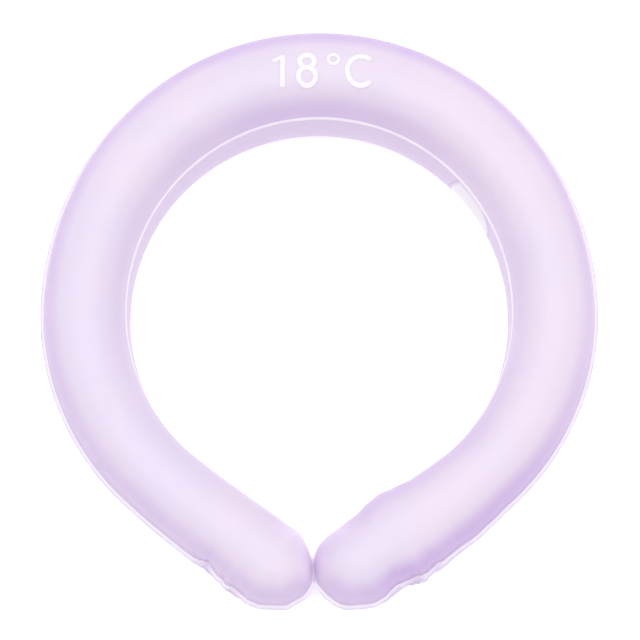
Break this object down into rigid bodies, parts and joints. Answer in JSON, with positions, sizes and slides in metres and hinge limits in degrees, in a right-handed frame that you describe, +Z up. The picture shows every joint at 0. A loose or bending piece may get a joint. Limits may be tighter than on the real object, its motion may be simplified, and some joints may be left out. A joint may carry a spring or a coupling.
{
  "type": "cooling neck ring",
  "caption": "Soft open ring of two welded films filled with gel, worn round the neck to cool it, with two blunt ends that meet at the front.",
  "frame": {"origin": "middle of the ring's outline, on the surface that it lies on", "axes": "+Z up out of the surface, +Y towards the nape, away from the two ends, +X to the right seen from above with the nape away"},
  "size_m": [0.1488, 0.1598, 0.0275],
  "materials": {
    "front_film": "satin frosted clear film, lilac from the gel behind it, paler on its crown",
    "back_film": "satin frosted clear film, lilac from the gel behind it",
    "gel_fill": "milky lilac gel, soft and slightly glossy",
    "print": "thin white print"
  },
  "bodies": {
    "root": {"front_film": "front_film", "back_film": "back_film", "gel_fill": "gel_fill"}
  },
  "joints": []
}
